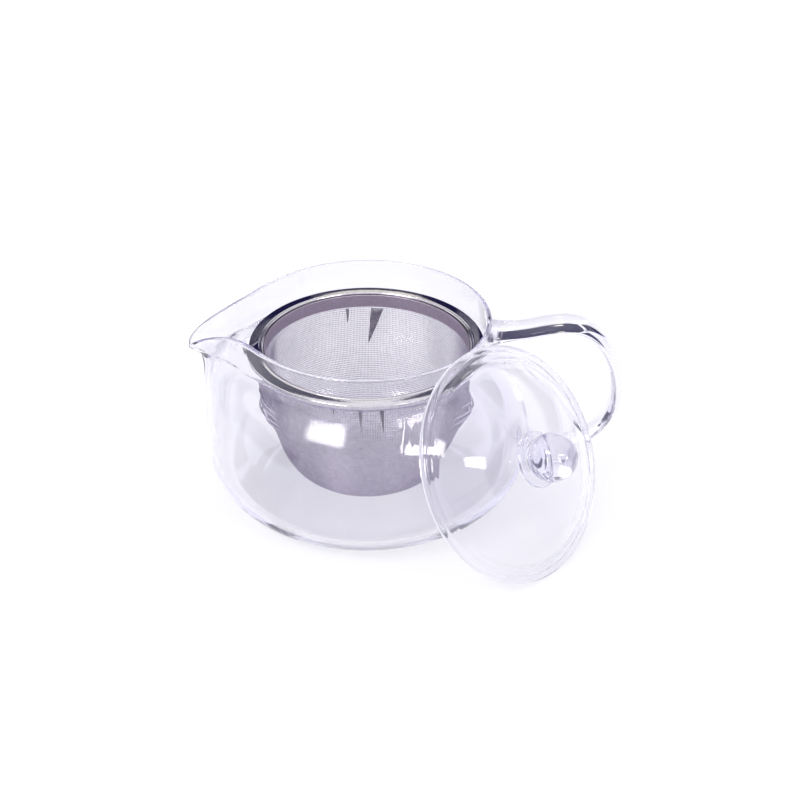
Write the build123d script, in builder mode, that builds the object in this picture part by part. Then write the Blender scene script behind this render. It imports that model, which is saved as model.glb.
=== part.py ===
from build123d import *
import math
import os

# Clear glass teapot with a back handle, a lift-out steel strainer and a domed glass lid.
# Millimetres. The origin is the middle of the pot's base, +Z is up, -X points along the spout.
# The lid stands on its edge beside the pot and leans on the pot's rim.

# ---- driving dimensions ----
BODY_RADIUS = 57.0
WIDEST_Z = 24.0
FOOT_RADIUS = 35.5
RIM_Z = 68.2
GLASS = 1.8
FLOOR_GLASS = 2.4

# waist of the neck, the collar above it, and how far the ledge inside lies below the step outside
WAIST_RADIUS = 41.8
WAIST_Z = 55.2
COLLAR_RADIUS = 43.5
COLLAR_Z = 58.4
LEDGE_DROP = 1.2

# handles of the wall's curves, as lengths along the tangent
FOOT_PULL = 14.8
BELLY_PULL_DOWN = 13.4
BELLY_PULL_UP = 17.0
WAIST_PULL = 5.4
STEP_PULL = 1.6

# spout: where its keel stands out from the axis at each height
SPOUT_KEEL = [(25.0, 55.6), (38.0, 57.1), (49.0, 57.8), (56.0, 61.6), (70.0, 65.0)]
SPOUT_ROOT_X = 33.0
SPOUT_ROOT_HALF_WIDTH = 26.0
SPOUT_TIP_RADIUS = 3.4
# lip line of the spout, seen from the side: distance out from the axis and drop below the rim
LIP_LINE = [(38.0, 0.0), (48.7, 1.5), (56.5, 5.1), (62.8, 11.0), (66.0, 15.5)]

# handle strap
STRAP_WIDTH = 11.0
STRAP_THICKNESS = 4.6
HANDLE_LINE = [
    (39.5, 62.2), (55.0, 63.4), (69.0, 65.6), (80.5, 61.0), (87.3, 47.0),
    (86.2, 32.0), (77.0, 20.6), (66.0, 17.6), (54.0, 18.6),
]

# strainer
FLANGE_RADIUS = 41.2
FLANGE_INNER_RADIUS = 36.4
FLANGE_Z = 57.6
SHEET = 0.6
FLANGE_SKIRT = 4.6
BAND_HEIGHT = 4.8
BAND_SHEET = 0.4
BAND_BELOW_FLANGE = 0.2
MESH_THICKNESS = 0.5
BASKET_BULGE_RADIUS = 36.4
BASKET_BULGE_Z = 33.0
BASKET_FLOOR_Z = 5.4
BASKET_FLOOR_PULL = 17.0
BASKET_SIDE_PULL = 24.0

# lid
LID_RADIUS = 40.5
LID_GLASS = 1.8
LID_RISE = 14.0
DOME_SHOULDER = 0.6
DOME_FULLNESS = 0.95
DOME_CROWN = 0.3
LID_FLANGE = 4.2
LID_BEAD_RADIUS = 1.35
KNOB_RADIUS = 8.6
KNOB_CENTRE = 21.6
KNOB_FOOT_RADIUS = 9.3
KNOB_FOOT_Z = 13.0
KNOB_NECK_RADIUS = 6.2
LID_CENTRE_OUT = 64.5
LID_AZIMUTH = -41.0
LID_FACING = 30.0

# reach of the cutting block, well past the whole pot
FAR = 200.0


def wall_line(inset, floor_z, top_z, ledge_drop):
    """Half outline of the pot from its floor to the top, moved in by the wall thickness."""
    foot = (FOOT_RADIUS, floor_z)
    belly = (BODY_RADIUS - inset, WIDEST_Z)
    waist = (WAIST_RADIUS - inset, WAIST_Z - ledge_drop / 2)
    collar = (COLLAR_RADIUS - inset, COLLAR_Z - ledge_drop)
    pull_down = BELLY_PULL_DOWN - floor_z / 2
    Bezier(foot, (FOOT_RADIUS + FOOT_PULL - inset, floor_z), (belly[0], WIDEST_Z - pull_down), belly)
    Bezier(belly, (belly[0], WIDEST_Z + BELLY_PULL_UP), (waist[0], waist[1] - WAIST_PULL), waist)
    Bezier(waist, (waist[0], waist[1] + STEP_PULL), (collar[0], collar[1] - STEP_PULL), collar)
    Line(collar, (collar[0], top_z))
    Polyline((collar[0], top_z), (0, top_z), (0, floor_z), foot)


def turned_wall(inset, floor_z, top_z, ledge_drop):
    """Solid of revolution inside the wall line."""
    with BuildPart() as turned:
        with BuildSketch(Plane.XZ):
            with BuildLine():
                wall_line(inset, floor_z, top_z, ledge_drop)
            make_face()
        revolve(axis=Axis.Z)
    return turned.part


def spout_block(inset):
    """Loft of level sections, each a V with a rounded nose, that widens from belly to lip."""
    with BuildPart() as block:
        for height, keel in SPOUT_KEEL:
            nose = keel - inset
            half = SPOUT_ROOT_HALF_WIDTH - inset
            tip = SPOUT_TIP_RADIUS
            # angle of the V's side, tangent to the nose circle
            reach = nose - tip - SPOUT_ROOT_X
            side = math.atan2(half, reach) - math.asin(tip / math.hypot(reach, half))
            touch = (-(nose - tip) - tip * math.sin(side), tip * math.cos(side))
            with BuildSketch(Plane.XY.offset(height)):
                with BuildLine():
                    Line((-SPOUT_ROOT_X, -half), (touch[0], -touch[1]))
                    ThreePointArc((touch[0], -touch[1]), (-nose, 0), touch)
                    Line(touch, (-SPOUT_ROOT_X, half))
                    Line((-SPOUT_ROOT_X, half), (-SPOUT_ROOT_X, -half))
                make_face()
        loft()
    return block.part


# ---- pot body: one blown vessel with its neck, collar and pulled spout ----
outer_wall = turned_wall(0, 0, RIM_Z, 0)
inner_wall = turned_wall(GLASS, FLOOR_GLASS, RIM_Z + GLASS, LEDGE_DROP)
outer_spout = spout_block(0)
inner_spout = spout_block(GLASS)

with BuildPart() as lip_cutter:
    with BuildSketch(Plane.XZ):
        with BuildLine():
            lip_points = [(-out, RIM_Z - drop) for out, drop in LIP_LINE]
            Spline(*lip_points)
            below_tip = (-FAR, lip_points[-1][1])
            Polyline(lip_points[-1], below_tip, (-FAR, FAR), (FAR, FAR), (FAR, RIM_Z), lip_points[0])
        make_face()
    extrude(amount=FAR, both=True)

with BuildPart() as pot_body:
    add(outer_wall)
    add(outer_spout)
    add(inner_wall, mode=Mode.SUBTRACT)
    add(inner_spout, mode=Mode.SUBTRACT)
    add(lip_cutter.part, mode=Mode.SUBTRACT)
pot_body.part.label = "pot_body"

# ---- handle: a flat oval glass rod bent into a loop, welded to the collar and the belly ----
with BuildPart() as pot_handle:
    with BuildLine(Plane.XZ) as loop:
        Spline(*HANDLE_LINE)
    with BuildSketch(Plane(loop.line @ 0, x_dir=(0, 1, 0), z_dir=loop.line % 0)):
        Ellipse(STRAP_WIDTH / 2, STRAP_THICKNESS / 2)
    sweep(path=loop.line)
    add(outer_wall, mode=Mode.SUBTRACT)
pot_handle.part.label = "pot_handle"

# ---- strainer flange: pressed steel ring with a rolled outer edge and a short inner skirt ----
with BuildPart() as strainer_flange:
    with BuildSketch(Plane.XZ):
        with Locations((FLANGE_RADIUS - SHEET, FLANGE_Z)):
            Circle(SHEET)
        with BuildLine():
            Polyline(
                (FLANGE_RADIUS - SHEET, FLANGE_Z - SHEET / 2),
                (FLANGE_RADIUS - SHEET, FLANGE_Z + SHEET / 2),
                (FLANGE_INNER_RADIUS, FLANGE_Z + SHEET / 2),
                (FLANGE_INNER_RADIUS, FLANGE_Z - FLANGE_SKIRT),
                (FLANGE_INNER_RADIUS + SHEET, FLANGE_Z - FLANGE_SKIRT),
                (FLANGE_INNER_RADIUS + SHEET, FLANGE_Z - SHEET / 2),
                close=True,
            )
        make_face()
    revolve(axis=Axis.Z)
strainer_flange.part.label = "strainer_flange"

# ---- clamp band: thin hoop that holds the mesh against the flange's skirt ----
band_outer_radius = FLANGE_INNER_RADIUS - MESH_THICKNESS
band_top_z = FLANGE_Z + SHEET / 2 - BAND_BELOW_FLANGE
with BuildPart() as clamp_band:
    with BuildSketch(Plane.XZ):
        with Locations((band_outer_radius, band_top_z)):
            Rectangle(BAND_SHEET, BAND_HEIGHT, align=(Align.MAX, Align.MAX))
    revolve(axis=Axis.Z)
clamp_band.part.label = "clamp_band"


# ---- mesh basket: one drawn sheet of woven wire, straight at the band and round below ----
def basket_line(inset):
    """Half outline of the basket from its floor to its top edge."""
    top_radius = FLANGE_INNER_RADIUS - inset
    skirt_z = band_top_z - BAND_HEIGHT
    bulge = (BASKET_BULGE_RADIUS - inset, BASKET_BULGE_Z)
    floor_z = BASKET_FLOOR_Z + inset
    floor_pull = (BASKET_FLOOR_PULL - inset, floor_z)
    side_pull = (bulge[0], BASKET_BULGE_Z - BASKET_SIDE_PULL + inset)
    Bezier((0, floor_z), floor_pull, side_pull, bulge)
    Line(bulge, (top_radius, skirt_z))
    Line((top_radius, skirt_z), (top_radius, band_top_z))
    Polyline((top_radius, band_top_z), (0, band_top_z), (0, floor_z))


with BuildPart() as strainer_mesh:
    with BuildSketch(Plane.XZ):
        with BuildLine():
            basket_line(0)
        make_face()
        with BuildLine():
            basket_line(MESH_THICKNESS)
        make_face(mode=Mode.SUBTRACT)
    revolve(axis=Axis.Z)
strainer_mesh.part.label = "strainer_mesh"

# ---- lid, made on a plane whose normal is the lid's own axis ----
azimuth = math.radians(LID_AZIMUTH)
facing = math.radians(LID_FACING)
bead_centre = LID_RADIUS - LID_BEAD_RADIUS
lid_normal = Vector(
    math.cos(facing) * math.cos(azimuth),
    math.cos(facing) * math.sin(azimuth),
    math.sin(facing),
)
# the bead's lowest point touches the level of the pot's base
lid_centre = Vector(
    LID_CENTRE_OUT * math.cos(azimuth),
    LID_CENTRE_OUT * math.sin(azimuth),
    bead_centre * math.cos(facing) + LID_BEAD_RADIUS,
)
lid_across = Vector(-math.sin(azimuth), math.cos(azimuth), 0)
lid_section = Plane(lid_centre, x_dir=lid_across, z_dir=lid_across.cross(lid_normal))
lid_axis = Axis(lid_centre, lid_normal)
dome_radius = LID_RADIUS - LID_FLANGE


def dome_line(height):
    """Half outline of the dome, whose level edge is at the given height above the lid's mid plane."""
    edge = (dome_radius, height)
    crown = (0, LID_RISE - LID_GLASS / 2 + height)
    shoulder = (dome_radius * DOME_SHOULDER, height + LID_RISE * DOME_FULLNESS - LID_GLASS / 2)
    Bezier(edge, shoulder, (dome_radius * DOME_CROWN, crown[1]), crown)
    return edge, crown


with BuildPart() as lid_dish:
    with BuildSketch(lid_section):
        with Locations((bead_centre, 0)):
            Circle(LID_BEAD_RADIUS)
        with BuildLine():
            top_edge, top_crown = dome_line(LID_GLASS / 2)
            under_edge, under_crown = dome_line(-LID_GLASS / 2)
            Polyline(top_edge, (bead_centre, top_edge[1]), (bead_centre, under_edge[1]), under_edge)
            Line(under_crown, top_crown)
        make_face()
    revolve(axis=lid_axis)
lid_dish.part.label = "lid_dish"

# ---- knob: solid glass ball on a short neck, fused to the crown of the dome ----
with BuildPart() as lid_knob:
    with BuildSketch(lid_section):
        with BuildLine():
            neck_z = KNOB_CENTRE - math.sqrt(KNOB_RADIUS**2 - KNOB_NECK_RADIUS**2)
            knob_top = (0, KNOB_CENTRE + KNOB_RADIUS)
            ThreePointArc(knob_top, (KNOB_RADIUS, KNOB_CENTRE), (KNOB_NECK_RADIUS, neck_z))
            foot = (KNOB_FOOT_RADIUS, KNOB_FOOT_Z)
            Bezier((KNOB_NECK_RADIUS, neck_z), (KNOB_NECK_RADIUS, KNOB_FOOT_Z), foot)
            Polyline(foot, (0, KNOB_FOOT_Z), knob_top)
        make_face()
    revolve(axis=lid_axis)
    add(lid_dish.part, mode=Mode.SUBTRACT)
lid_knob.part.label = "lid_knob"

os.makedirs("parts", exist_ok=True)
export_step(pot_body.part, "parts/pot_body.step")
export_step(pot_handle.part, "parts/pot_handle.step")
export_step(strainer_flange.part, "parts/strainer_flange.step")
export_step(clamp_band.part, "parts/clamp_band.step")
export_step(strainer_mesh.part, "parts/strainer_mesh.step")
export_step(lid_dish.part, "parts/lid_dish.step")
export_step(lid_knob.part, "parts/lid_knob.step")
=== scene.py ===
import math

import bpy
import numpy as np
from mathutils import Matrix, Vector


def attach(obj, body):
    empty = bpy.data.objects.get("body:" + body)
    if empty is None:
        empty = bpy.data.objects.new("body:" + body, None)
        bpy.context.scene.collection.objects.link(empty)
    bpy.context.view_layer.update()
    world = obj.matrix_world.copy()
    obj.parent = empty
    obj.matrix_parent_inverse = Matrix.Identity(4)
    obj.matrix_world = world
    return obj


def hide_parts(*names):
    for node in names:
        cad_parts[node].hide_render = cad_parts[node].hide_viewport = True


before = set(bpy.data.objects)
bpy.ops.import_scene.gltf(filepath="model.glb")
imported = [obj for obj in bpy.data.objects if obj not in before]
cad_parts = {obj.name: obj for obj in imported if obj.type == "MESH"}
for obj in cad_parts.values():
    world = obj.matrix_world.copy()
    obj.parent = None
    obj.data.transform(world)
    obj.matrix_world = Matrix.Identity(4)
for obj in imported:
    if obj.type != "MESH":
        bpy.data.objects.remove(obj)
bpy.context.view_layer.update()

# Shapes are written in millimetres; object data is in metres.
MM = 0.001


# ---------------------------------------------------------------- helpers
def cubic(t, a, b, c, d):
    """A cubic Bezier curve's value at t."""
    return (1 - t) ** 3 * a + 3 * (1 - t) ** 2 * t * b + 3 * (1 - t) * t**2 * c + t**3 * d


def bezier(p0, p1, p2, p3, count):
    """Points along a cubic Bezier curve."""
    t = np.linspace(0, 1, count)[:, None]
    return cubic(t, *(np.array(p, float) for p in (p0, p1, p2, p3)))


def arc(centre, radius, start, end, count):
    """Points on a circular arc, angles in degrees from the first axis."""
    a = np.radians(np.linspace(start, end, count))
    return np.stack([centre[0] + radius * np.cos(a), centre[1] + radius * np.sin(a)], 1)


def line(p0, p1, count):
    """Points along a straight line."""
    t = np.linspace(0, 1, count)[:, None]
    return (1 - t) * np.array(p0, float) + t * np.array(p1, float)


def chain(*runs):
    """Joins runs of points, dropping a repeated point where two runs meet."""
    points = [np.array(runs[0], float)]
    for run in runs[1:]:
        run = np.array(run, float)
        skip = 1 if np.allclose(points[-1][-1], run[0], atol=1e-6) else 0
        points.append(run[skip:])
    return np.concatenate(points)


def through(xs, ys, x):
    """A smooth curve through the given values that doesn't overshoot between them."""
    xs, ys = np.array(xs, float), np.array(ys, float)
    step, rise = np.diff(xs), np.diff(ys)
    slope = rise / step
    tangent = np.zeros(len(xs))
    for i in range(1, len(xs) - 1):
        if slope[i - 1] * slope[i] > 0:
            w0, w1 = 2 * step[i] + step[i - 1], step[i] + 2 * step[i - 1]
            tangent[i] = (w0 + w1) / (w0 / slope[i - 1] + w1 / slope[i])
    x = np.clip(x, xs[0], xs[-1])
    i = np.clip(np.searchsorted(xs, x, side="right") - 1, 0, len(step) - 1)
    t = (x - xs[i]) / step[i]
    h00, h10 = (1 + 2 * t) * (1 - t) ** 2, t * (1 - t) ** 2
    h01, h11 = t**2 * (3 - 2 * t), t**2 * (t - 1)
    near = h00 * ys[i] + h10 * step[i] * tangent[i]
    return near + h01 * ys[i + 1] + h11 * step[i] * tangent[i + 1]


def smooth_step(x, low, high):
    """Goes from 0 at low to 1 at high without a corner."""
    t = np.clip((x - low) / (high - low), 0, 1)
    return t * t * (3 - 2 * t)


def make(name, verts, faces, material, place=None):
    """A smooth shaded mesh object from points in millimetres."""
    mesh = bpy.data.meshes.new(name)
    verts = np.asarray(verts, float) * MM
    if place is not None:
        m = np.array(place)
        verts = verts @ m[:3, :3].T + m[:3, 3]
    mesh.vertices.add(len(verts))
    mesh.vertices.foreach_set("co", verts.astype(np.float32).ravel())
    corners = np.concatenate([np.asarray(face) for face in faces])
    mesh.loops.add(len(corners))
    mesh.loops.foreach_set("vertex_index", corners.astype(np.int32))
    starts = np.concatenate([[0], np.cumsum([len(face) for face in faces])[:-1]])
    mesh.polygons.add(len(faces))
    mesh.polygons.foreach_set("loop_start", starts.astype(np.int32))
    mesh.update(calc_edges=True)
    mesh.validate()
    mesh.shade_smooth()
    mesh.materials.append(material)
    obj = bpy.data.objects.new(name, mesh)
    bpy.context.scene.collection.objects.link(obj)
    return obj


def grid_faces(rows, columns, wrap_rows=False, flip=False):
    """Quads of a grid of points numbered row by row. Each row is a closed ring."""
    i = np.arange(rows if wrap_rows else rows - 1)
    i, j = (a.ravel() for a in np.meshgrid(i, np.arange(columns), indexing="ij"))
    i1, j1 = (i + 1) % rows, (j + 1) % columns
    quad = np.stack([i * columns + j, i * columns + j1, i1 * columns + j1, i1 * columns + j], 1)
    return quad[:, ::-1] if flip else quad


def close_ends(verts, faces, around, first_point, last_point, flip=False):
    """Closes a grid's first and last row of points with a fan of triangles to a point each."""
    first, last, base = len(verts), len(verts) + 1, len(verts) - around
    faces = list(faces)
    for j in range(around):
        a, b = ((j + 1) % around, j) if flip else (j, (j + 1) % around)
        faces.append(np.array([first, b, a]))
        faces.append(np.array([last, base + a, base + b]))
    return np.concatenate([verts, [first_point, last_point]]), faces


def lathe(name, outline, segments, material, place=None, ring=False):
    """Turns a half outline of (radius, height) about the Z axis.

    A ring's outline is closed; the others start and end on the axis.
    """
    outline = np.array(outline, float)
    turn = np.linspace(0, 2 * math.pi, segments, endpoint=False)
    body = outline if ring else outline[1:-1]
    x = body[:, :1] * np.cos(turn)
    y = body[:, :1] * np.sin(turn)
    z = np.repeat(body[:, 1:], segments, 1)
    verts = np.stack([x, y, z], 2).reshape(-1, 3)
    faces = grid_faces(len(body), segments, wrap_rows=ring)
    if not ring:
        ends = (0, 0, outline[0, 1]), (0, 0, outline[-1, 1])
        verts, faces = close_ends(verts, faces, segments, *ends)
    return make(name, verts, faces, material, place)


def joined(parts):
    """One set of points and faces from a list of (points, faces)."""
    counts = [len(verts) for verts, faces in parts]
    starts = np.concatenate([[0], np.cumsum(counts)[:-1]])
    faces = np.concatenate([faces + start for (verts, faces), start in zip(parts, starts)])
    return np.concatenate([verts for verts, faces in parts]), faces


# ---------------------------------------------------------------- materials
def new_material(name):
    material = bpy.data.materials.new(name)
    material.use_nodes = True
    tree = material.node_tree
    shader = next(n for n in tree.nodes if n.type == "BSDF_PRINCIPLED")
    return material, tree, shader


def node(tree, kind, **settings):
    """A new node; each setting names an input socket or, failing that, a property."""
    made = tree.nodes.new(kind)
    for key, value in settings.items():
        if key in made.inputs:
            made.inputs[key].default_value = value
        else:
            setattr(made, key, value)
    return made


def position(tree, scale=(1, 1, 1)):
    """Object coordinates, scaled."""
    coord = tree.nodes.new("ShaderNodeTexCoord")
    mapping = node(tree, "ShaderNodeMapping", Scale=scale)
    tree.links.new(coord.outputs["Object"], mapping.inputs["Vector"])
    return mapping.outputs["Vector"]


def noise(tree, where, **settings):
    """The value of a noise texture at the given place."""
    made = node(tree, "ShaderNodeTexNoise", **settings)
    tree.links.new(where, made.inputs["Vector"])
    return made.outputs["Fac"]


def two_tones(tree, value, low_at, low, high_at, high):
    """A colour that goes from low to high as the value goes from low_at to high_at."""
    ramp = tree.nodes.new("ShaderNodeValToRGB")
    elements = ramp.color_ramp.elements
    elements[0].position, elements[0].color = low_at, (*low, 1)
    elements[1].position, elements[1].color = high_at, (*high, 1)
    tree.links.new(value, ramp.inputs["Fac"])
    return ramp.outputs["Color"]


def finish_surface(tree, shader, grain, dark, light, smear, rough, bump_strength, bump_depth):
    """Takes the colour and the bump from one noise, and the roughness from another."""
    colour = two_tones(tree, grain, 0.3, dark, 0.7, light)
    tree.links.new(colour, shader.inputs["Base Color"])
    spread = node(tree, "ShaderNodeMapRange", **{"To Min": rough[0], "To Max": rough[1]})
    tree.links.new(smear, spread.inputs["Value"])
    tree.links.new(spread.outputs["Result"], shader.inputs["Roughness"])
    bump = node(tree, "ShaderNodeBump", Strength=bump_strength, Distance=bump_depth)
    tree.links.new(grain, bump.inputs["Height"])
    tree.links.new(bump.outputs["Normal"], shader.inputs["Normal"])


GLASS_IOR = 1.47
ABSORB = (0.70, 0.68, 0.82)


def glass(name, tint_low, tint, wave_scale, wave, density):
    """Clear glass with slow waves in its surface, a faint uneven tint and a slight absorption."""
    material, tree, shader = new_material(name)
    shader.inputs["Transmission Weight"].default_value = 1.0
    shader.inputs["IOR"].default_value = GLASS_IOR
    where = position(tree)
    waves = noise(tree, where, Scale=wave_scale, Detail=1.5, Roughness=0.4)
    smear = noise(tree, where, Scale=wave_scale * 6, Detail=3.0)
    finish_surface(tree, shader, waves, tint_low, tint, smear, (0.0, 0.02), wave, 0.001)
    volume = node(tree, "ShaderNodeVolumeAbsorption", Color=(*ABSORB, 1), Density=density)
    out = next(n for n in tree.nodes if n.type == "OUTPUT_MATERIAL")
    tree.links.new(volume.outputs["Volume"], out.inputs["Volume"])
    return material


def steel(name, dark, light, rough, scale, bump, stretch=(1, 1, 1)):
    """Steel whose grain changes its colour, roughness and surface."""
    material, tree, shader = new_material(name)
    shader.inputs["Metallic"].default_value = 1.0
    grain = noise(tree, position(tree, stretch), Scale=scale, Detail=6.0, Roughness=0.6)
    finish_surface(tree, shader, grain, dark, light, grain, rough, bump, 0.0002)
    return material


CLEAR = ((0.925, 0.921, 0.952), (0.945, 0.942, 0.966))
LID_CLEAR = ((0.925, 0.918, 0.957), (0.950, 0.945, 0.975))
pot_glass = glass("pot_glass", *CLEAR, wave_scale=45, wave=0.05, density=9)
handle_glass = glass("handle_glass", *CLEAR, wave_scale=60, wave=0.05, density=6)
lid_glass = glass("lid_glass", *LID_CLEAR, wave_scale=45, wave=0.04, density=10)
knob_glass = glass("knob_glass", *CLEAR, wave_scale=80, wave=0.03, density=8)
polished = steel(
    "polished_steel", (0.54, 0.52, 0.54), (0.64, 0.62, 0.63), rough=(0.015, 0.06), scale=900, bump=0.06
)
satin = steel(
    "satin_steel", (0.36, 0.31, 0.39), (0.52, 0.45, 0.54), rough=(0.32, 0.5), scale=700, bump=0.25,
    stretch=(1, 1, 6),
)
wire = steel(
    "woven_mesh", (0.44, 0.405, 0.50), (0.66, 0.605, 0.74), rough=(0.22, 0.4), scale=500, bump=0.1
)
# a darker copy of the mesh steel for the darts' folded layers: painted shade in the folds
dart_painted_shade = steel(
    "folded_mesh_painted_shade", (0.13, 0.12, 0.16), (0.34, 0.31, 0.39), rough=(0.25, 0.45), scale=500, bump=0.1
)
# a lighter, glossier copy of the mesh steel for the raised folds: painted highlight on their ridges
pleat_painted_highlight = steel(
    "creased_mesh_painted_highlight", (0.62, 0.58, 0.70), (0.86, 0.81, 0.93), rough=(0.15, 0.3), scale=500, bump=0.1
)

# ---------------------------------------------------------------- pot body
BELLY = (57.0, 24.0)
WAIST = (41.8, 55.2)
COLLAR = (43.5, 58.4)
FOOT_RADIUS = 35.5
RIM_Z = 68.2
GLASS = 1.8
FLOOR_GLASS = 2.4
LEDGE_DROP = 1.2
BEAD = 1.12
BEAD_SWELL = 0.16
# the base is dished up and the floor inside is domed by this much in the middle
BASE_DISH = 0.55
FLOOR_DOME = 0.25
DISH_RADIUS = 33.5


def wall_outline(inset, floor_z, ledge_drop):
    """(radius, height) from the foot to just under the rim bead."""
    belly = (BELLY[0] - inset, BELLY[1])
    waist = (WAIST[0] - inset, WAIST[1] - ledge_drop / 2)
    collar = (COLLAR[0] - inset, COLLAR[1] - ledge_drop)
    pull = 13.4 - floor_z / 2
    foot = (FOOT_RADIUS, floor_z)
    return chain(
        bezier(foot, (50.3 - inset, floor_z), (belly[0], BELLY[1] - pull), belly, 34),
        bezier(belly, (belly[0], BELLY[1] + 17), (waist[0], waist[1] - 5.4), waist, 40),
        bezier(waist, (waist[0], waist[1] + 1.6), (collar[0], collar[1] - 1.6), collar, 12),
        line(collar, (collar[0], RIM_Z - BEAD), 10),
    )


# the middle line of the spout: how far out it is at each height
KEEL_Z = (24, 40, 49, 53.5, 55.6, 57.2, 63, 68.2)
KEEL_OUT = (57.0, 57.1, 57.2, 57.9, 59.6, 62.8, 66.6, 68.2)
# how far the spout stands out at each angle from its middle, as a share of the keel's reach:
# low on the wall and at the lip
LOW_TURN = (0, 10, 20, 30, 42, 60, 180)
LOW_SHARE = (1.0, 0.93, 0.74, 0.46, 0.14, 0, 0)
LIP_SHARE_TURN = (0, 2.2, 7.3, 12, 16, 24, 33, 48, 180)
LIP_SHARE = (1.0, 0.92, 0.55, 0.325, 0.205, 0.08, 0.03, 0, 0)
# how far the lip drops at each angle
LIP_TURN = (0, 2.6, 7.3, 12, 16, 24, 34, 180)
LIP_DROP = (11.0, 9.3, 4.5, 2.1, 1.0, 0.25, 0, 0)
# heights between which the spout goes from its low to its lip section
LIP_FROM, LIP_TO = 36, 60
# heights between which the neck's step is faired into the spout's throat
THROAT_FROM, THROAT_TO = 43.0, 61.0


def beaked(radius, height, turn, inset):
    """Moves a point of the turned wall to where the pulled spout has it.

    turn is the angle from the spout, in degrees.
    """
    turn = np.abs(turn)
    drop = through(LIP_TURN, LIP_DROP, turn)
    rise = np.clip((height - BELLY[1]) / (RIM_Z - BELLY[1]), 0, 1)
    height = height - drop * rise**2
    high = smooth_step(height, LIP_FROM, LIP_TO)
    # the inner wall keeps its distance where the spout's sides slant
    side = 1 + 0.35 * high * smooth_step(turn, 0, 5) * (1 - smooth_step(turn, 12, 22))
    keel = through(KEEL_Z, KEEL_OUT, height) - inset * side
    low_share = through(LOW_TURN, LOW_SHARE, turn)
    lip_share = through(LIP_SHARE_TURN, LIP_SHARE, turn)
    share = (1 - high) * low_share + high * lip_share
    there = smooth_step(height, BELLY[1] - 2, BELLY[1] + 10)
    return radius + there * share * np.maximum(keel - radius, 0), height


def faired(rows, turn):
    """Radii of the rows at each angle from the spout, in degrees.

    The neck's step runs out towards the spout, where the wall is one smooth throat.
    """
    radius, height = rows[:, :1], rows[:, 1:]
    up = rows[rows[:, 1] > BELLY[1]]
    up = up[np.argsort(up[:, 1])]
    low, lower = np.interp([THROAT_FROM, THROAT_FROM - 0.5], up[:, 1], up[:, 0])
    high = up[-1, 0]
    slope = (low - lower) / 0.5 * (THROAT_TO - THROAT_FROM) / 3
    t = np.clip((height - THROAT_FROM) / (THROAT_TO - THROAT_FROM), 0, 1)
    throat = cubic(t, low, low + slope, high + 0.3, high)
    inside = (height > THROAT_FROM) & (height < THROAT_TO)
    near = 1 - smooth_step(np.abs(turn), 14, 34)[None, :]
    return radius + near * np.where(inside, np.maximum(throat - radius, 0), 0)


def pot_rows():
    """Rows of (radius, height): up the outside from the base, and down the inside to the floor."""
    base_r = np.array([6, 12, 18, 24, 29, 32.5])
    base = np.stack([base_r, BASE_DISH * (1 - (base_r / DISH_RADIUS) ** 2)], 1)
    floor_r = np.array([29, 23, 17, 11, 6])
    floor_z = FLOOR_GLASS + FLOOR_DOME * (1 - (floor_r / DISH_RADIUS) ** 2)
    outer = chain(base, wall_outline(0, 0, 0))
    inner = wall_outline(GLASS, FLOOR_GLASS, LEDGE_DROP)[::-1]
    return outer, chain(inner, np.stack([floor_r, floor_z], 1))


def build_pot():
    segments = 288
    u = np.linspace(-1, 1, segments, endpoint=False)
    # closer together round the spout's nose
    turn = np.degrees(math.pi * u - 0.8 * np.sin(math.pi * u))
    angle = math.pi - np.radians(turn)
    outer, inner = pot_rows()
    ro, zo = beaked(faired(outer, turn), outer[:, 1:], turn[None, :], 0.0)
    ri, zi = beaked(faired(inner, turn), inner[:, 1:], turn[None, :], GLASS)
    # the rim's bead, a little fuller than the wall
    top_o, top_i = (ro[-1], zo[-1]), (ri[0], zi[0])
    swing = np.radians(np.linspace(0, 180, 13))[1:-1, None]
    middle, half = (top_o[0] + top_i[0]) / 2, (top_o[0] - top_i[0]) / 2
    rb = middle + half * (1 + BEAD_SWELL * np.sin(swing)) * np.cos(swing)
    zb = (top_o[1] + top_i[1]) / 2 + BEAD * np.sin(swing)
    radius = np.concatenate([ro, rb, ri])
    height = np.concatenate([zo, zb, zi])
    verts = np.stack([radius * np.cos(angle), radius * np.sin(angle), height], 2).reshape(-1, 3)
    faces = grid_faces(len(radius), segments, flip=True)
    middles = (0, 0, BASE_DISH), (0, 0, FLOOR_GLASS + FLOOR_DOME)
    verts, faces = close_ends(verts, faces, segments, *middles, flip=True)
    return make("pot_body_glass", verts, faces, pot_glass)


pot = build_pot()

# ---------------------------------------------------------------- handle
# the strap's middle line, from the collar round to the belly: (distance from the axis, height)
HANDLE_LINE = (
    (42.7, 62.3), (47.5, 62.6), (55.0, 63.5), (63.0, 65.1), (70.0, 65.7), (76.5, 64.0),
    (82.6, 58.2), (86.4, 50.2), (87.8, 41.5), (87.0, 33.2), (83.6, 26.4), (77.6, 20.8),
    (70.5, 17.9), (63.0, 17.4), (58.5, 18.2), (55.8, 18.9),
)
# distance along the strap as a share of its length, then its half width and half thickness there
STRAP_AT = (0, 0.035, 0.09, 0.2, 0.42, 0.62, 0.8, 0.93, 0.975, 1)
STRAP_HALF_WIDTH = (7.4, 6.6, 6.0, 6.2, 5.4, 4.7, 4.1, 3.9, 4.5, 5.4)
STRAP_HALF_THICK = (3.3, 2.7, 2.25, 2.2, 2.3, 2.3, 2.2, 2.1, 2.7, 3.4)


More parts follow.
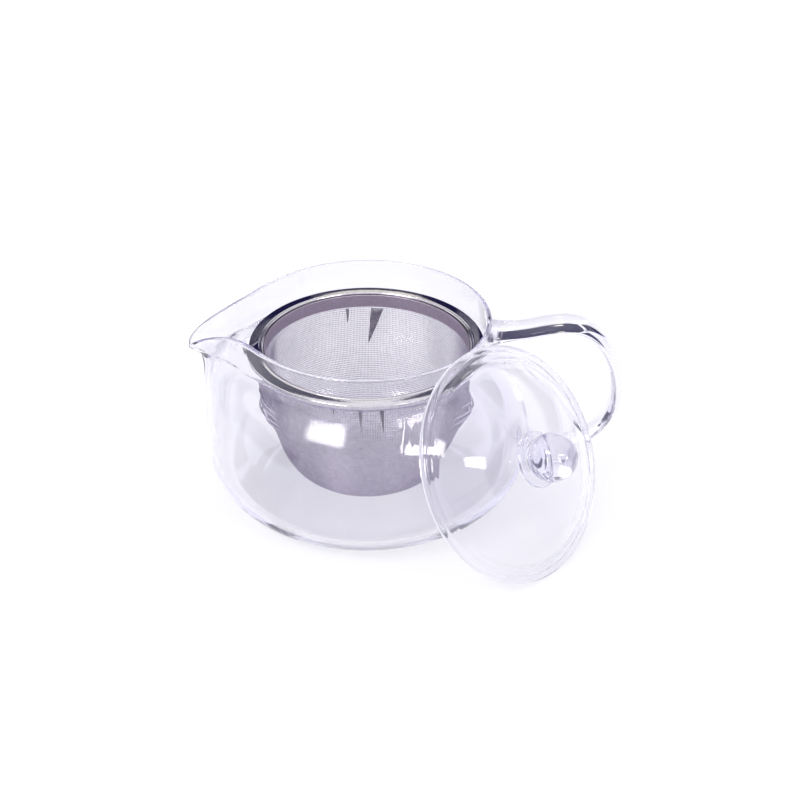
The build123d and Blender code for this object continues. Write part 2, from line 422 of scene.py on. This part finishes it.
def spline(points, count):
    """Points evenly spaced on a Catmull-Rom curve through the given ones."""
    p = np.array(points, float)
    p = np.concatenate([[2 * p[0] - p[1]], p, [2 * p[-1] - p[-2]]])
    t = np.linspace(0, 1, 24, endpoint=False)[:, None]
    runs = []
    for a, b, c, d in zip(p[:-3], p[1:-2], p[2:-1], p[3:]):
        square, cube = 2 * a - 5 * b + 4 * c - d, 3 * b - a - 3 * c + d
        runs.append(0.5 * (2 * b + (c - a) * t + square * t**2 + cube * t**3))
    dense = np.concatenate(runs + [p[-2:-1]])
    far = np.concatenate([[0], np.cumsum(np.linalg.norm(np.diff(dense, axis=0), axis=1))])
    s = np.linspace(0, far[-1], count)
    return np.stack([np.interp(s, far, dense[:, k]) for k in range(dense.shape[1])], 1)


def build_handle():
    rows, around = 220, 48
    path = spline(HANDLE_LINE, rows)
    along = np.gradient(path, axis=0)
    along /= np.linalg.norm(along, axis=1)[:, None]
    share = np.linspace(0, 1, rows)
    width = through(STRAP_AT, STRAP_HALF_WIDTH, share)
    thick = through(STRAP_AT, STRAP_HALF_THICK, share)
    a = np.linspace(0, 2 * math.pi, around, endpoint=False)
    # a flat oval, slightly squarer than an ellipse
    square = 0.92
    ca = np.sign(np.cos(a)) * np.abs(np.cos(a)) ** square
    sa = np.sign(np.sin(a)) * np.abs(np.sin(a)) ** square
    across = np.stack([-along[:, 1], along[:, 0]], 1)
    verts = np.zeros((rows, around, 3))
    verts[:, :, 0] = path[:, :1] + across[:, :1] * thick[:, None] * sa
    verts[:, :, 2] = path[:, 1:] + across[:, 1:] * thick[:, None] * sa
    verts[:, :, 1] = width[:, None] * ca
    ends = (path[0, 0], 0, path[0, 1]), (path[-1, 0], 0, path[-1, 1])
    verts, faces = close_ends(verts.reshape(-1, 3), grid_faces(rows, around), around, *ends)
    return make("pot_handle_glass", verts, faces, handle_glass)


handle = build_handle()

# ---------------------------------------------------------------- strainer flange and band
flange_outline = chain(
    arc((40.78, 57.33), 0.4, -90, 78, 12),
    bezier((40.863, 57.721), (40.2, 57.80), (39.6, 57.855), (39.1, 57.89), 14),
    bezier((39.1, 57.89), (38.6, 57.925), (38.1, 57.95), (37.78, 57.955), 8),
    bezier((37.78, 57.955), (37.66, 57.955), (37.58, 57.8), (37.46, 57.8), 8),
    bezier((37.46, 57.8), (37.42, 57.8), (37.38, 57.84), (37.32, 57.93), 4),
    arc((36.92, 57.6), 0.5, 40, 180, 14),
    line((36.45, 57.4), (36.45, 53.1), 8),
    arc((36.63, 53.1), 0.18, 180, 360, 6),
    line((36.81, 53.1), (36.81, 56.7), 6),
    bezier((36.81, 56.7), (36.85, 57.05), (37.2, 57.2), (37.8, 57.2), 6),
    line((37.8, 57.2), (40.6, 57.02), 5),
)
flange = lathe("strainer_flange_ring", flange_outline, 240, polished, ring=True)

band_outline = chain(
    arc((35.72, 57.35), 0.18, 0, 180, 7),
    line((35.54, 57.3), (35.54, 53.0), 10),
    arc((35.72, 52.9), 0.18, 180, 360, 7),
    line((35.9, 53.0), (35.9, 57.3), 8),
)
band = lathe("clamp_band_hoop", band_outline, 240, satin, ring=True)

# ---------------------------------------------------------------- strainer mesh, real wires
BASKET_TOP = 57.3
BASKET_BOTTOM = 4.8
# the basket's usual radius, to turn a distance along the sheet into an angle
BASKET_RADIUS = 36
# radius where the turned weave ends and the square weave of the floor takes over
SIDE_END_R = 20.0
WIRES = 400
RING_PITCH = 0.8
FLOOR_PITCH = 0.6
WIRE_RADIUS = 0.115
UPRIGHT_RADIUS = 0.078
# how far a wire goes to each side of the sheet's middle as it passes over and under
WEAVE = 0.085
LOWER_POINTS = 400


def basket_profile():
    """Dense (radius, height) from the middle of the basket's floor to its top."""
    bottom, shoulder = (0, BASKET_BOTTOM), (34.9, 32.5)
    return chain(
        bezier(bottom, (33.0, BASKET_BOTTOM), (28.6, 16.5), shoulder, LOWER_POINTS),
        bezier(shoulder, (36.3, 35.8), (34.6, 46), (36.16, BASKET_TOP), 200),
    )


PROFILE = basket_profile()
PROFILE_STEPS = np.linalg.norm(np.diff(PROFILE, axis=0), axis=1)
PROFILE_FAR = np.concatenate([[0], np.cumsum(PROFILE_STEPS)])
LOWER_R, LOWER_Z = PROFILE[:LOWER_POINTS + 1].T
LOWER_FAR = PROFILE_FAR[:LOWER_POINTS + 1]


def on_profile(far):
    """(radius, height) at a distance along the profile."""
    return np.interp(far, PROFILE_FAR, PROFILE[:, 0]), np.interp(far, PROFILE_FAR, PROFILE[:, 1])


def far_at(height):
    """The distance along the profile at a height."""
    return np.interp(height, PROFILE[:, 1], PROFILE_FAR)


# darts where the sheet is folded over: angle in degrees, half width at the top in mm,
# height of the top and of the point, and how far the point lies to the side of the top
DARTS = (
    (84.6, 2.3, 52.6, 38.0, 3.4), (102.5, 0.5, 52.6, 47.5, 0.2), (267.0, 0.55, 54.0, 43.0, 0.3),
    (278.6, 0.7, 54.0, 42.5, 0.9), (252.0, 0.35, 54.0, 49.5, 0.2), (205.0, 0.5, 52.6, 45.0, 0.2),
    (322.0, 0.6, 52.6, 44.0, 0.3),
)
# a dart's folded layers lie this far inside the sheet
DART_LAYERS = (0.3, 0.55, 0.8)
# thick folds of the puckered sides: angle and half width in degrees, height, how far they stand out
PUCKERS = (
    (186.0, 22.0, 30.6, 1.0), (187.0, 26.0, 32.7, 1.3), (188.0, 28.0, 34.8, 1.4),
    (189.0, 26.0, 36.9, 1.3), (190.0, 21.0, 39.0, 1.0), (-7.0, 20.0, 32.2, 1.0),
    (-8.0, 25.0, 34.3, 1.3), (-9.0, 24.0, 36.4, 1.3), (-8.0, 18.0, 38.5, 1.0),
)
PUCKER_THICK = 0.34
# short low folds that catch the light across the front, given the same way, and coloured lighter as a
# painted highlight
STREAKS = (
    (240.0, 5.0, 44.9, 0.2), (244.0, 6.0, 46.4, 0.25), (249.0, 4.0, 43.4, 0.2),
    (286.0, 6.0, 43.6, 0.25), (288.0, 7.0, 45.4, 0.3), (290.0, 6.0, 47.4, 0.25),
    (293.0, 4.0, 49.0, 0.2), (283.0, 4.0, 41.8, 0.2),
)
STREAK_THICK = 0.12


def band_mask(height, low, low_full, high_full, high):
    """1 between low_full and high_full, fading to 0 at low and high."""
    return smooth_step(height, low, low_full) * (1 - smooth_step(height, high_full, high))


def sheet(turn, height):
    """How far the creased and puckered sheet stands in from the turned shape, in millimetres.

    turn is in radians.
    """
    degrees = np.degrees(turn) % 360
    inward = 0.0
    for at, half, top, point, lean in DARTS:
        off = ((degrees - at + 180) % 360 - 180) * math.radians(1) * BASKET_RADIUS
        reach = smooth_step(height, point - 3, top - 2)
        reach = reach * (1 - 0.9 * smooth_step(height, 51.5, 53.4))
        inward = inward + (0.35 + 0.35 * half) * reach * np.exp(-((off / (half + 0.7)) ** 2))
    side = np.maximum(np.cos(turn), -np.cos(turn))
    front = np.clip(-np.sin(turn), 0, 1)
    # fine ridges: close ones low on the two sides, wider ones high on the front
    low_band = band_mask(height, 27.5, 31.5, 37.5, 41.5) * smooth_step(side, 0.8, 0.97)
    high_band = band_mask(height, 41.5, 44, 49.5, 52) * smooth_step(front, 0.55, 0.9)
    wander = 0.5 * np.sin(2.2 * turn + 1) + 0.35 * np.sin(9 * turn)
    ridge = 0.3 * low_band * np.sin(2 * math.pi * height / 1.6 + wander) - 0.35 * low_band
    ridge = ridge + 0.15 * high_band * np.sin(2 * math.pi * height / 2.3 + 2 * wander)
    # broad upright undulations
    broad = 0.26 * np.sin(11 * turn + 0.5) + 0.14 * np.sin(17 * turn + 2)
    return inward + ridge + broad * band_mask(height, 18, 32, 48, 52.5)


def tube_faces(points_along, strands, closed, sides):
    """Quads for strands of points_along sections of that many sides each.

    The points are numbered strand by strand, section by section, side by side.
    """
    seg = np.arange(points_along if closed else points_along - 1)
    grid = np.meshgrid(np.arange(strands), seg, np.arange(sides), indexing="ij")
    s, p, q = (a.ravel() for a in grid)
    p1, q1 = (p + 1) % points_along, (q + 1) % sides
    corners = (p, q), (p1, q), (p1, q1), (p, q1)
    return np.stack([(s * points_along + pp) * sides + qq for pp, qq in corners], 1)


def tubes(paths, outward, closed, radius=WIRE_RADIUS, sides=3):
    """Wires along paths of shape (strands, points, 3), with an outward direction at each point."""
    if closed:
        along = np.roll(paths, -1, 1) - np.roll(paths, 1, 1)
    else:
        along = np.gradient(paths, axis=1)
    along /= np.linalg.norm(along, axis=2)[..., None]
    side = np.cross(along, outward)
    side /= np.linalg.norm(side, axis=2)[..., None]
    up = np.cross(side, along)
    a = np.linspace(0, 2 * math.pi, sides, endpoint=False) + math.pi / 2
    ca, sa = np.cos(a)[None, None, :, None], np.sin(a)[None, None, :, None]
    verts = paths[:, :, None, :] + radius * (ca * side[:, :, None, :] + sa * up[:, :, None, :])
    return verts.reshape(-1, 3), tube_faces(paths.shape[1], paths.shape[0], closed, sides)


def basket_point(turn, far):
    """Points and outward normals of the folded basket at angle turn and distance far along it."""
    r, z = on_profile(far)
    r1, z1 = on_profile(far + 0.4)
    r0, z0 = on_profile(far - 0.4)
    tr, tz = r1 - r0, z1 - z0
    length = np.hypot(tr, tz)
    nr, nz = tz / length, -tr / length
    inward = sheet(turn, z)
    r, z = r - inward * nr, z - inward * nz
    point = np.stack([r * np.cos(turn), r * np.sin(turn), z], -1)
    return point, np.stack([nr * np.cos(turn), nr * np.sin(turn), nz], -1)


def build_side():
    """Hoops and upright wires woven through each other, each kind in two pieces."""
    start = float(np.interp(SIDE_END_R, LOWER_R, LOWER_FAR))
    end = PROFILE_FAR[-1] - 0.1
    rings = int((end - start) / RING_PITCH)
    fars = np.linspace(start, end, rings)
    turns = np.linspace(0, 2 * math.pi, WIRES, endpoint=False)
    over = np.where((np.arange(rings)[:, None] + np.arange(WIRES)[None, :]) % 2, 1, -1)
    pieces = []
    p, n = basket_point(*np.meshgrid(turns, fars))
    hoops = p + (WEAVE * over)[..., None] * n
    for index, rows in enumerate(np.array_split(np.arange(rings), 2)):
        verts, faces = tubes(hoops[rows], n[rows], True)
        pieces.append(make(f"strainer_mesh_hoops_{index + 1}", verts, faces, wire))
    p, n = basket_point(*np.meshgrid(turns, fars, indexing="ij"))
    uprights = p - (WEAVE * over.T)[..., None] * n
    for index, rows in enumerate(np.array_split(np.arange(WIRES), 2)):
        verts, faces = tubes(uprights[rows], n[rows], False, UPRIGHT_RADIUS)
        pieces.append(make(f"strainer_mesh_uprights_{index + 1}", verts, faces, wire))
    return pieces


def build_pleats():
    """The raised folds of the puckered sheet: tapered, slightly bowed rods under its surface, coloured
    lighter as a painted highlight.
    """
    sides = 8
    parts = []
    for folds, thick in ((PUCKERS, PUCKER_THICK), (STREAKS, STREAK_THICK)):
        for at, half, height, out in folds:
            k = np.linspace(-1, 1, 48)
            p, n = basket_point(np.radians(at + k * half), far_at(height + 0.7 * k**2))
            swell = np.cos(k * math.pi / 2)
            spine = p + (out * swell - thick)[:, None] * n
            verts, faces = tubes(spine[None], n[None], False, thick, sides)
            spine = np.repeat(spine, sides, 0)
            taper = np.repeat(0.25 + 0.75 * swell, sides)[:, None]
            parts.append((spine + (verts - spine) * taper, faces))
    # the folds take the lighter steel, which paints the highlight along their ridges
    return make("strainer_mesh_pleats", *joined(parts), pleat_painted_highlight)


def build_darts():
    """The darts' folded layers, woven of their own wires and coloured darker as painted shade in the
    folds.
    """
    parts = []
    for at, half, top, point, lean in DARTS:
        far_top, far_point = far_at(top), far_at(point)
        runs = []
        down = np.linspace(0, 1, 26)
        for k in np.linspace(-1, 1, max(3, int(half / 0.16))):
            off = (k * half * (1 - down) + lean * down) / BASKET_RADIUS
            far = far_top + (far_point - far_top) * down
            runs.append((math.radians(at) + off, far, UPRIGHT_RADIUS))
        for d in np.arange(0.01, 0.97, RING_PITCH / 2 / (far_top - far_point)):
            k = np.linspace(-1, 1, 7)
            off = (k * half * (1 - d) + lean * d) / BASKET_RADIUS
            far = np.full(7, far_top + (far_point - far_top) * d)
            runs.append((math.radians(at) + off, far, WIRE_RADIUS))
        for layer in DART_LAYERS:
            for turn, far, radius in runs:
                p, n = basket_point(turn, far)
                parts.append(tubes((p - layer * n)[None], n[None], False, radius))
    # the folded layers take the darker steel, which paints the shade inside the darts
    return make("strainer_mesh_darts", *joined(parts), dart_painted_shade)


def build_weave_floor():
    """The basket's floor, a disc of square weave."""
    reach = SIDE_END_R + 0.6
    count = int(reach / FLOOR_PITCH)
    parts = []
    for way in (0, 1):
        for i in range(-count, count + 1):
            at = i * FLOOR_PITCH
            m = int(math.sqrt(max(reach**2 - at**2, 0)) / FLOOR_PITCH)
            if m < 2:
                continue
            s = np.arange(-m, m + 1) * FLOOR_PITCH
            x, y = (np.full_like(s, at), s) if way == 0 else (s, np.full_like(s, at))
            r = np.hypot(x, y)
            z = np.interp(r, LOWER_R, LOWER_Z)
            slope = (np.interp(r + 0.3, LOWER_R, LOWER_Z) - z) / 0.3
            tilt = np.maximum(r, 0.1)
            away = np.stack([slope * x / tilt, slope * y / tilt, -np.ones_like(s)], 1)
            away /= np.linalg.norm(away, axis=1)[:, None]
            over = np.where((np.arange(-m, m + 1) + i + way) % 2, 1, -1)
            path = np.stack([x, y, z], 1) + (WEAVE * over)[:, None] * away
            parts.append(tubes(path[None], away[None], False))
    return make("strainer_mesh_floor", *joined(parts), wire)


basket = [*build_side(), build_pleats(), build_darts(), build_weave_floor()]

# ---------------------------------------------------------------- lid
LID_RADIUS = 40.5
LID_BEAD = 1.35
# the lid stands on its edge and leans on the rim: the azimuth and elevation its top faces,
# and how far out from the pot's axis its middle is
LID_AZIMUTH, LID_FACING = math.radians(-41.0), math.radians(30.0)
LID_OUT = 64.5
lid_up = (LID_RADIUS - LID_BEAD) * math.cos(LID_FACING) + LID_BEAD
lid_normal = Vector((
    math.cos(LID_FACING) * math.cos(LID_AZIMUTH),
    math.cos(LID_FACING) * math.sin(LID_AZIMUTH),
    math.sin(LID_FACING),
))
lid_across = Vector((-math.sin(LID_AZIMUTH), math.cos(LID_AZIMUTH), 0))
lid_third = lid_normal.cross(lid_across)
lid_place = Matrix((
    (lid_across.x, lid_third.x, lid_normal.x, LID_OUT * math.cos(LID_AZIMUTH) * MM),
    (lid_across.y, lid_third.y, lid_normal.y, LID_OUT * math.sin(LID_AZIMUTH) * MM),
    (lid_across.z, lid_third.z, lid_normal.z, lid_up * MM),
    (0, 0, 0, 1),
))

lid_outline = chain(
    bezier((0, 13.9), (14.0, 13.9), (28.6, 11.6), (34.8, 2.35), 60),
    bezier((34.8, 2.35), (35.9, 1.4), (36.2, 0.95), (37.2, 0.92), 10),
    line((37.2, 0.92), (37.9, 0.94), 3),
    arc((39.15, 0), LID_BEAD, 133, -133, 26),
    line((37.9, -0.94), (36.4, -0.9), 4),
    bezier((36.4, -0.9), (35.6, -0.86), (35.2, -0.6), (34.4, 0.15), 10),
    bezier((34.4, 0.15), (27.6, 9.9), (13.6, 12.1), (0, 12.1), 60),
)
lid = lathe("lid_dish_glass", lid_outline[::-1], 224, lid_glass, place=lid_place)

knob_outline = chain(
    line((0, 12.9), (8.7, 12.9), 6),
    arc((8.75, 13.55), 0.65, -90, 80, 12),
    bezier((8.86, 14.19), (8.2, 14.3), (7.4, 14.0), (6.5, 14.0), 8),
    bezier((6.5, 14.0), (5.9, 14.0), (5.55, 14.1), (5.77, 14.3), 8),
    arc((0, 20.4), 8.4, -46.6, 90, 48),
)
knob = lathe("lid_knob_glass", knob_outline, 128, knob_glass, place=lid_place)

# ---------------------------------------------------------------- bodies and nodes
for piece, body, nodes, slot in (
    (pot, "pot", ("pot_body",), "pot_glass"),
    (handle, "pot", ("pot_handle",), "handle_glass"),
    (flange, "strainer", ("strainer_flange",), "polished_steel"),
    (band, "strainer", ("clamp_band",), "satin_steel"),
    (lid, "lid", ("lid_dish",), "lid_glass"),
    (knob, "lid", ("lid_knob",), "knob_glass"),
):
    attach(piece, body)
    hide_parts(*nodes)
for piece in basket:
    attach(piece, "strainer")
    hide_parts("strainer_mesh")

# ---------------------------------------------------------------- camera
ELEVATION = math.radians(31.4)
TARGET = Vector((11.57, 0, 34.62)) * MM
DISTANCE = 741.6
LENS = 94.2
BACK = Vector((0, -math.cos(ELEVATION), math.sin(ELEVATION)))
camera_data = bpy.data.cameras.new("camera")
camera_data.lens = LENS
camera_data.sensor_width = 36
camera = bpy.data.objects.new("camera", camera_data)
camera.location = TARGET + DISTANCE * MM * BACK
camera.rotation_euler = BACK.to_track_quat("Z", "Y").to_euler()
bpy.context.scene.collection.objects.link(camera)
bpy.context.scene.camera = camera


# ---------------------------------------------------------------- floor
# the floor lies this far under the pot's foot, so that the glass doesn't look stuck to it
FLOOR_GAP = 0.15
FLOOR_GLOW = 0.80


def build_floor():
    """A wide disc, a little darker away from the object."""
    material, tree, shader = new_material("studio_floor")
    shader.inputs["Roughness"].default_value = 1.0
    shader.inputs["Specular IOR Level"].default_value = 0.0
    length = node(tree, "ShaderNodeVectorMath", operation="LENGTH")
    tree.links.new(position(tree), length.inputs[0])
    near, far = (0.20, 0.20, 0.205), (0.16, 0.16, 0.18)
    colour = two_tones(tree, length.outputs["Value"], 0.2, near, 0.75, far)
    tree.links.new(colour, shader.inputs["Base Color"])
    shader.inputs["Emission Color"].default_value = (0.955, 0.95, 1.0, 1)
    shader.inputs["Emission Strength"].default_value = FLOOR_GLOW
    segments = 96
    turn = np.linspace(0, 2 * math.pi, segments, endpoint=False)
    radii = np.array([60, 200, 600, 1500, 4000.0])
    x, y = radii[:, None] * np.cos(turn), radii[:, None] * np.sin(turn)
    verts = np.stack([x, y, np.full_like(x, -FLOOR_GAP)], 2).reshape(-1, 3)
    faces = list(grid_faces(len(radii), segments, flip=True))
    centre = len(verts)
    verts = np.concatenate([verts, [[0, 0, -FLOOR_GAP]]])
    faces += [np.array([centre, j, (j + 1) % segments]) for j in range(segments)]
    floor = make("studio_floor", verts, faces, material)


build_floor()


# ---------------------------------------------------------------- room
def direction(azimuth, elevation):
    """A unit vector. The azimuth goes from +Y towards +X, and both angles are in degrees."""
    az, el = math.radians(azimuth), math.radians(elevation)
    return Vector((math.sin(az) * math.cos(el), math.cos(az) * math.cos(el), math.sin(el)))


def dot_product(tree, coord, vector):
    made = node(tree, "ShaderNodeVectorMath", operation="DOT_PRODUCT")
    made.inputs[1].default_value = vector
    tree.links.new(coord, made.inputs[0])
    return made.outputs["Value"]


def world_patch(tree, colour, towards, half_width, half_height, value, soft, tilt):
    """Lays a soft edged rectangle of the given colour over the sky.

    towards is the (azimuth, elevation) of its middle. Sizes and tilt are in degrees.
    """
    centre = direction(*towards)
    level = direction(towards[0] + 90, 0)
    rise = level.cross(centre)
    right = level * math.cos(math.radians(tilt)) + rise * math.sin(math.radians(tilt))
    up = right.cross(centre)
    coord = tree.nodes.new("ShaderNodeTexCoord").outputs["Generated"]
    # nothing shows behind the patch's own half of the sky
    clipped = node(tree, "ShaderNodeMath", operation="MAXIMUM")
    clipped.inputs[1].default_value = 0.01
    tree.links.new(dot_product(tree, coord, centre), clipped.inputs[0])
    both = node(tree, "ShaderNodeMath", operation="MULTIPLY")
    for index, (vector, half) in enumerate(((right, half_width), (up, half_height))):
        ratio = node(tree, "ShaderNodeMath", operation="DIVIDE")
        tree.links.new(dot_product(tree, coord, vector), ratio.inputs[0])
        tree.links.new(clipped.outputs["Value"], ratio.inputs[1])
        size = node(tree, "ShaderNodeMath", operation="ABSOLUTE")
        tree.links.new(ratio.outputs["Value"], size.inputs[0])
        mask = node(tree, "ShaderNodeMapRange", interpolation_type="SMOOTHSTEP")
        edge = math.tan(math.radians(half))
        mask.inputs["From Min"].default_value = edge * (1 + soft)
        mask.inputs["From Max"].default_value = edge * (1 - soft)
        tree.links.new(size.outputs["Value"], mask.inputs["Value"])
        tree.links.new(mask.outputs["Result"], both.inputs[index])
    mix = node(tree, "ShaderNodeMix", data_type="RGBA")
    tree.links.new(both.outputs["Value"], mix.inputs[0])
    tree.links.new(colour, mix.inputs[6])
    mix.inputs[7].default_value = (*value, 1)
    return mix.outputs[2]


def build_world():
    """A pale sky, slightly blue at the horizon, with the patches laid over it."""
    world = bpy.data.worlds.new("studio")
    bpy.context.scene.world = world
    world.use_nodes = True
    tree = world.node_tree
    background = next(n for n in tree.nodes if n.type == "BACKGROUND")
    coord = tree.nodes.new("ShaderNodeTexCoord")
    split = tree.nodes.new("ShaderNodeSeparateXYZ")
    tree.links.new(coord.outputs["Generated"], split.inputs["Vector"])
    sky = two_tones(tree, split.outputs["Z"], 0.0, (0.8, 0.8, 0.92), 0.45, (1, 1, 1))
    gain = node(tree, "ShaderNodeMix", data_type="RGBA", blend_type="MULTIPLY")
    gain.inputs[0].default_value = 1.0
    gain.inputs[7].default_value = (*SKY, 1)
    tree.links.new(sky, gain.inputs[6])
    colour = gain.outputs[2]
    for patch in PATCHES:
        colour = world_patch(tree, colour, *patch)
    tree.links.new(colour, background.inputs["Color"])


SKY = (1.3, 1.3, 1.34)
NAVY = (0.020, 0.018, 0.080)
CREAM = (1.35, 1.28, 1.10)
BETWEEN = (1.15, 1.15, 1.22)
SOFTBOX = (19.0, 18.6, 17.6)
# each: (azimuth, elevation), half width, half height, colour, softness of the edge, tilt
PATCHES = (
    # the dark band round the back of the room, higher on both sides of the middle, and a gap in it
    ((0, 20), 80, 14.4, NAVY, 0.06, 0),
    ((-9.5, 36.5), 5.0, 4.2, NAVY, 0.12, 0),
    ((8.5, 36.5), 5.0, 4.2, NAVY, 0.12, 0),
    ((25.5, 23), 3.4, 17, BETWEEN, 0.3, 0),
    # dark sides of the room
    ((105, 20), 20, 8, NAVY, 0.2, 0),
    ((-105, 20), 20, 8, NAVY, 0.2, 0),
    # the pale spot that the back of the flange shows
    ((-0.5, 24.3), 2.6, 3.0, CREAM, 0.35, 0),
    # two soft boxes behind the camera
    ((-138.5, 48.9), 12.0, 6.6, SOFTBOX, 0.34, -12.4),
    ((135, 35.4), 11.5, 2.9, SOFTBOX, 0.3, 25),
)
build_world()

scene = bpy.context.scene
scene.view_settings.view_transform = "Standard"
scene.view_settings.look = "None"
scene.view_settings.exposure = 0.0
scene.view_settings.gamma = 1.0
# light passes many glass walls on its way
BOUNCES = 96
scene.cycles.max_bounces = BOUNCES
scene.cycles.transmission_bounces = BOUNCES
scene.cycles.glossy_bounces = BOUNCES
scene.cycles.diffuse_bounces = 4
# above the soft boxes, so that their reflections through glass stay bright
scene.cycles.sample_clamp_indirect = 26.0
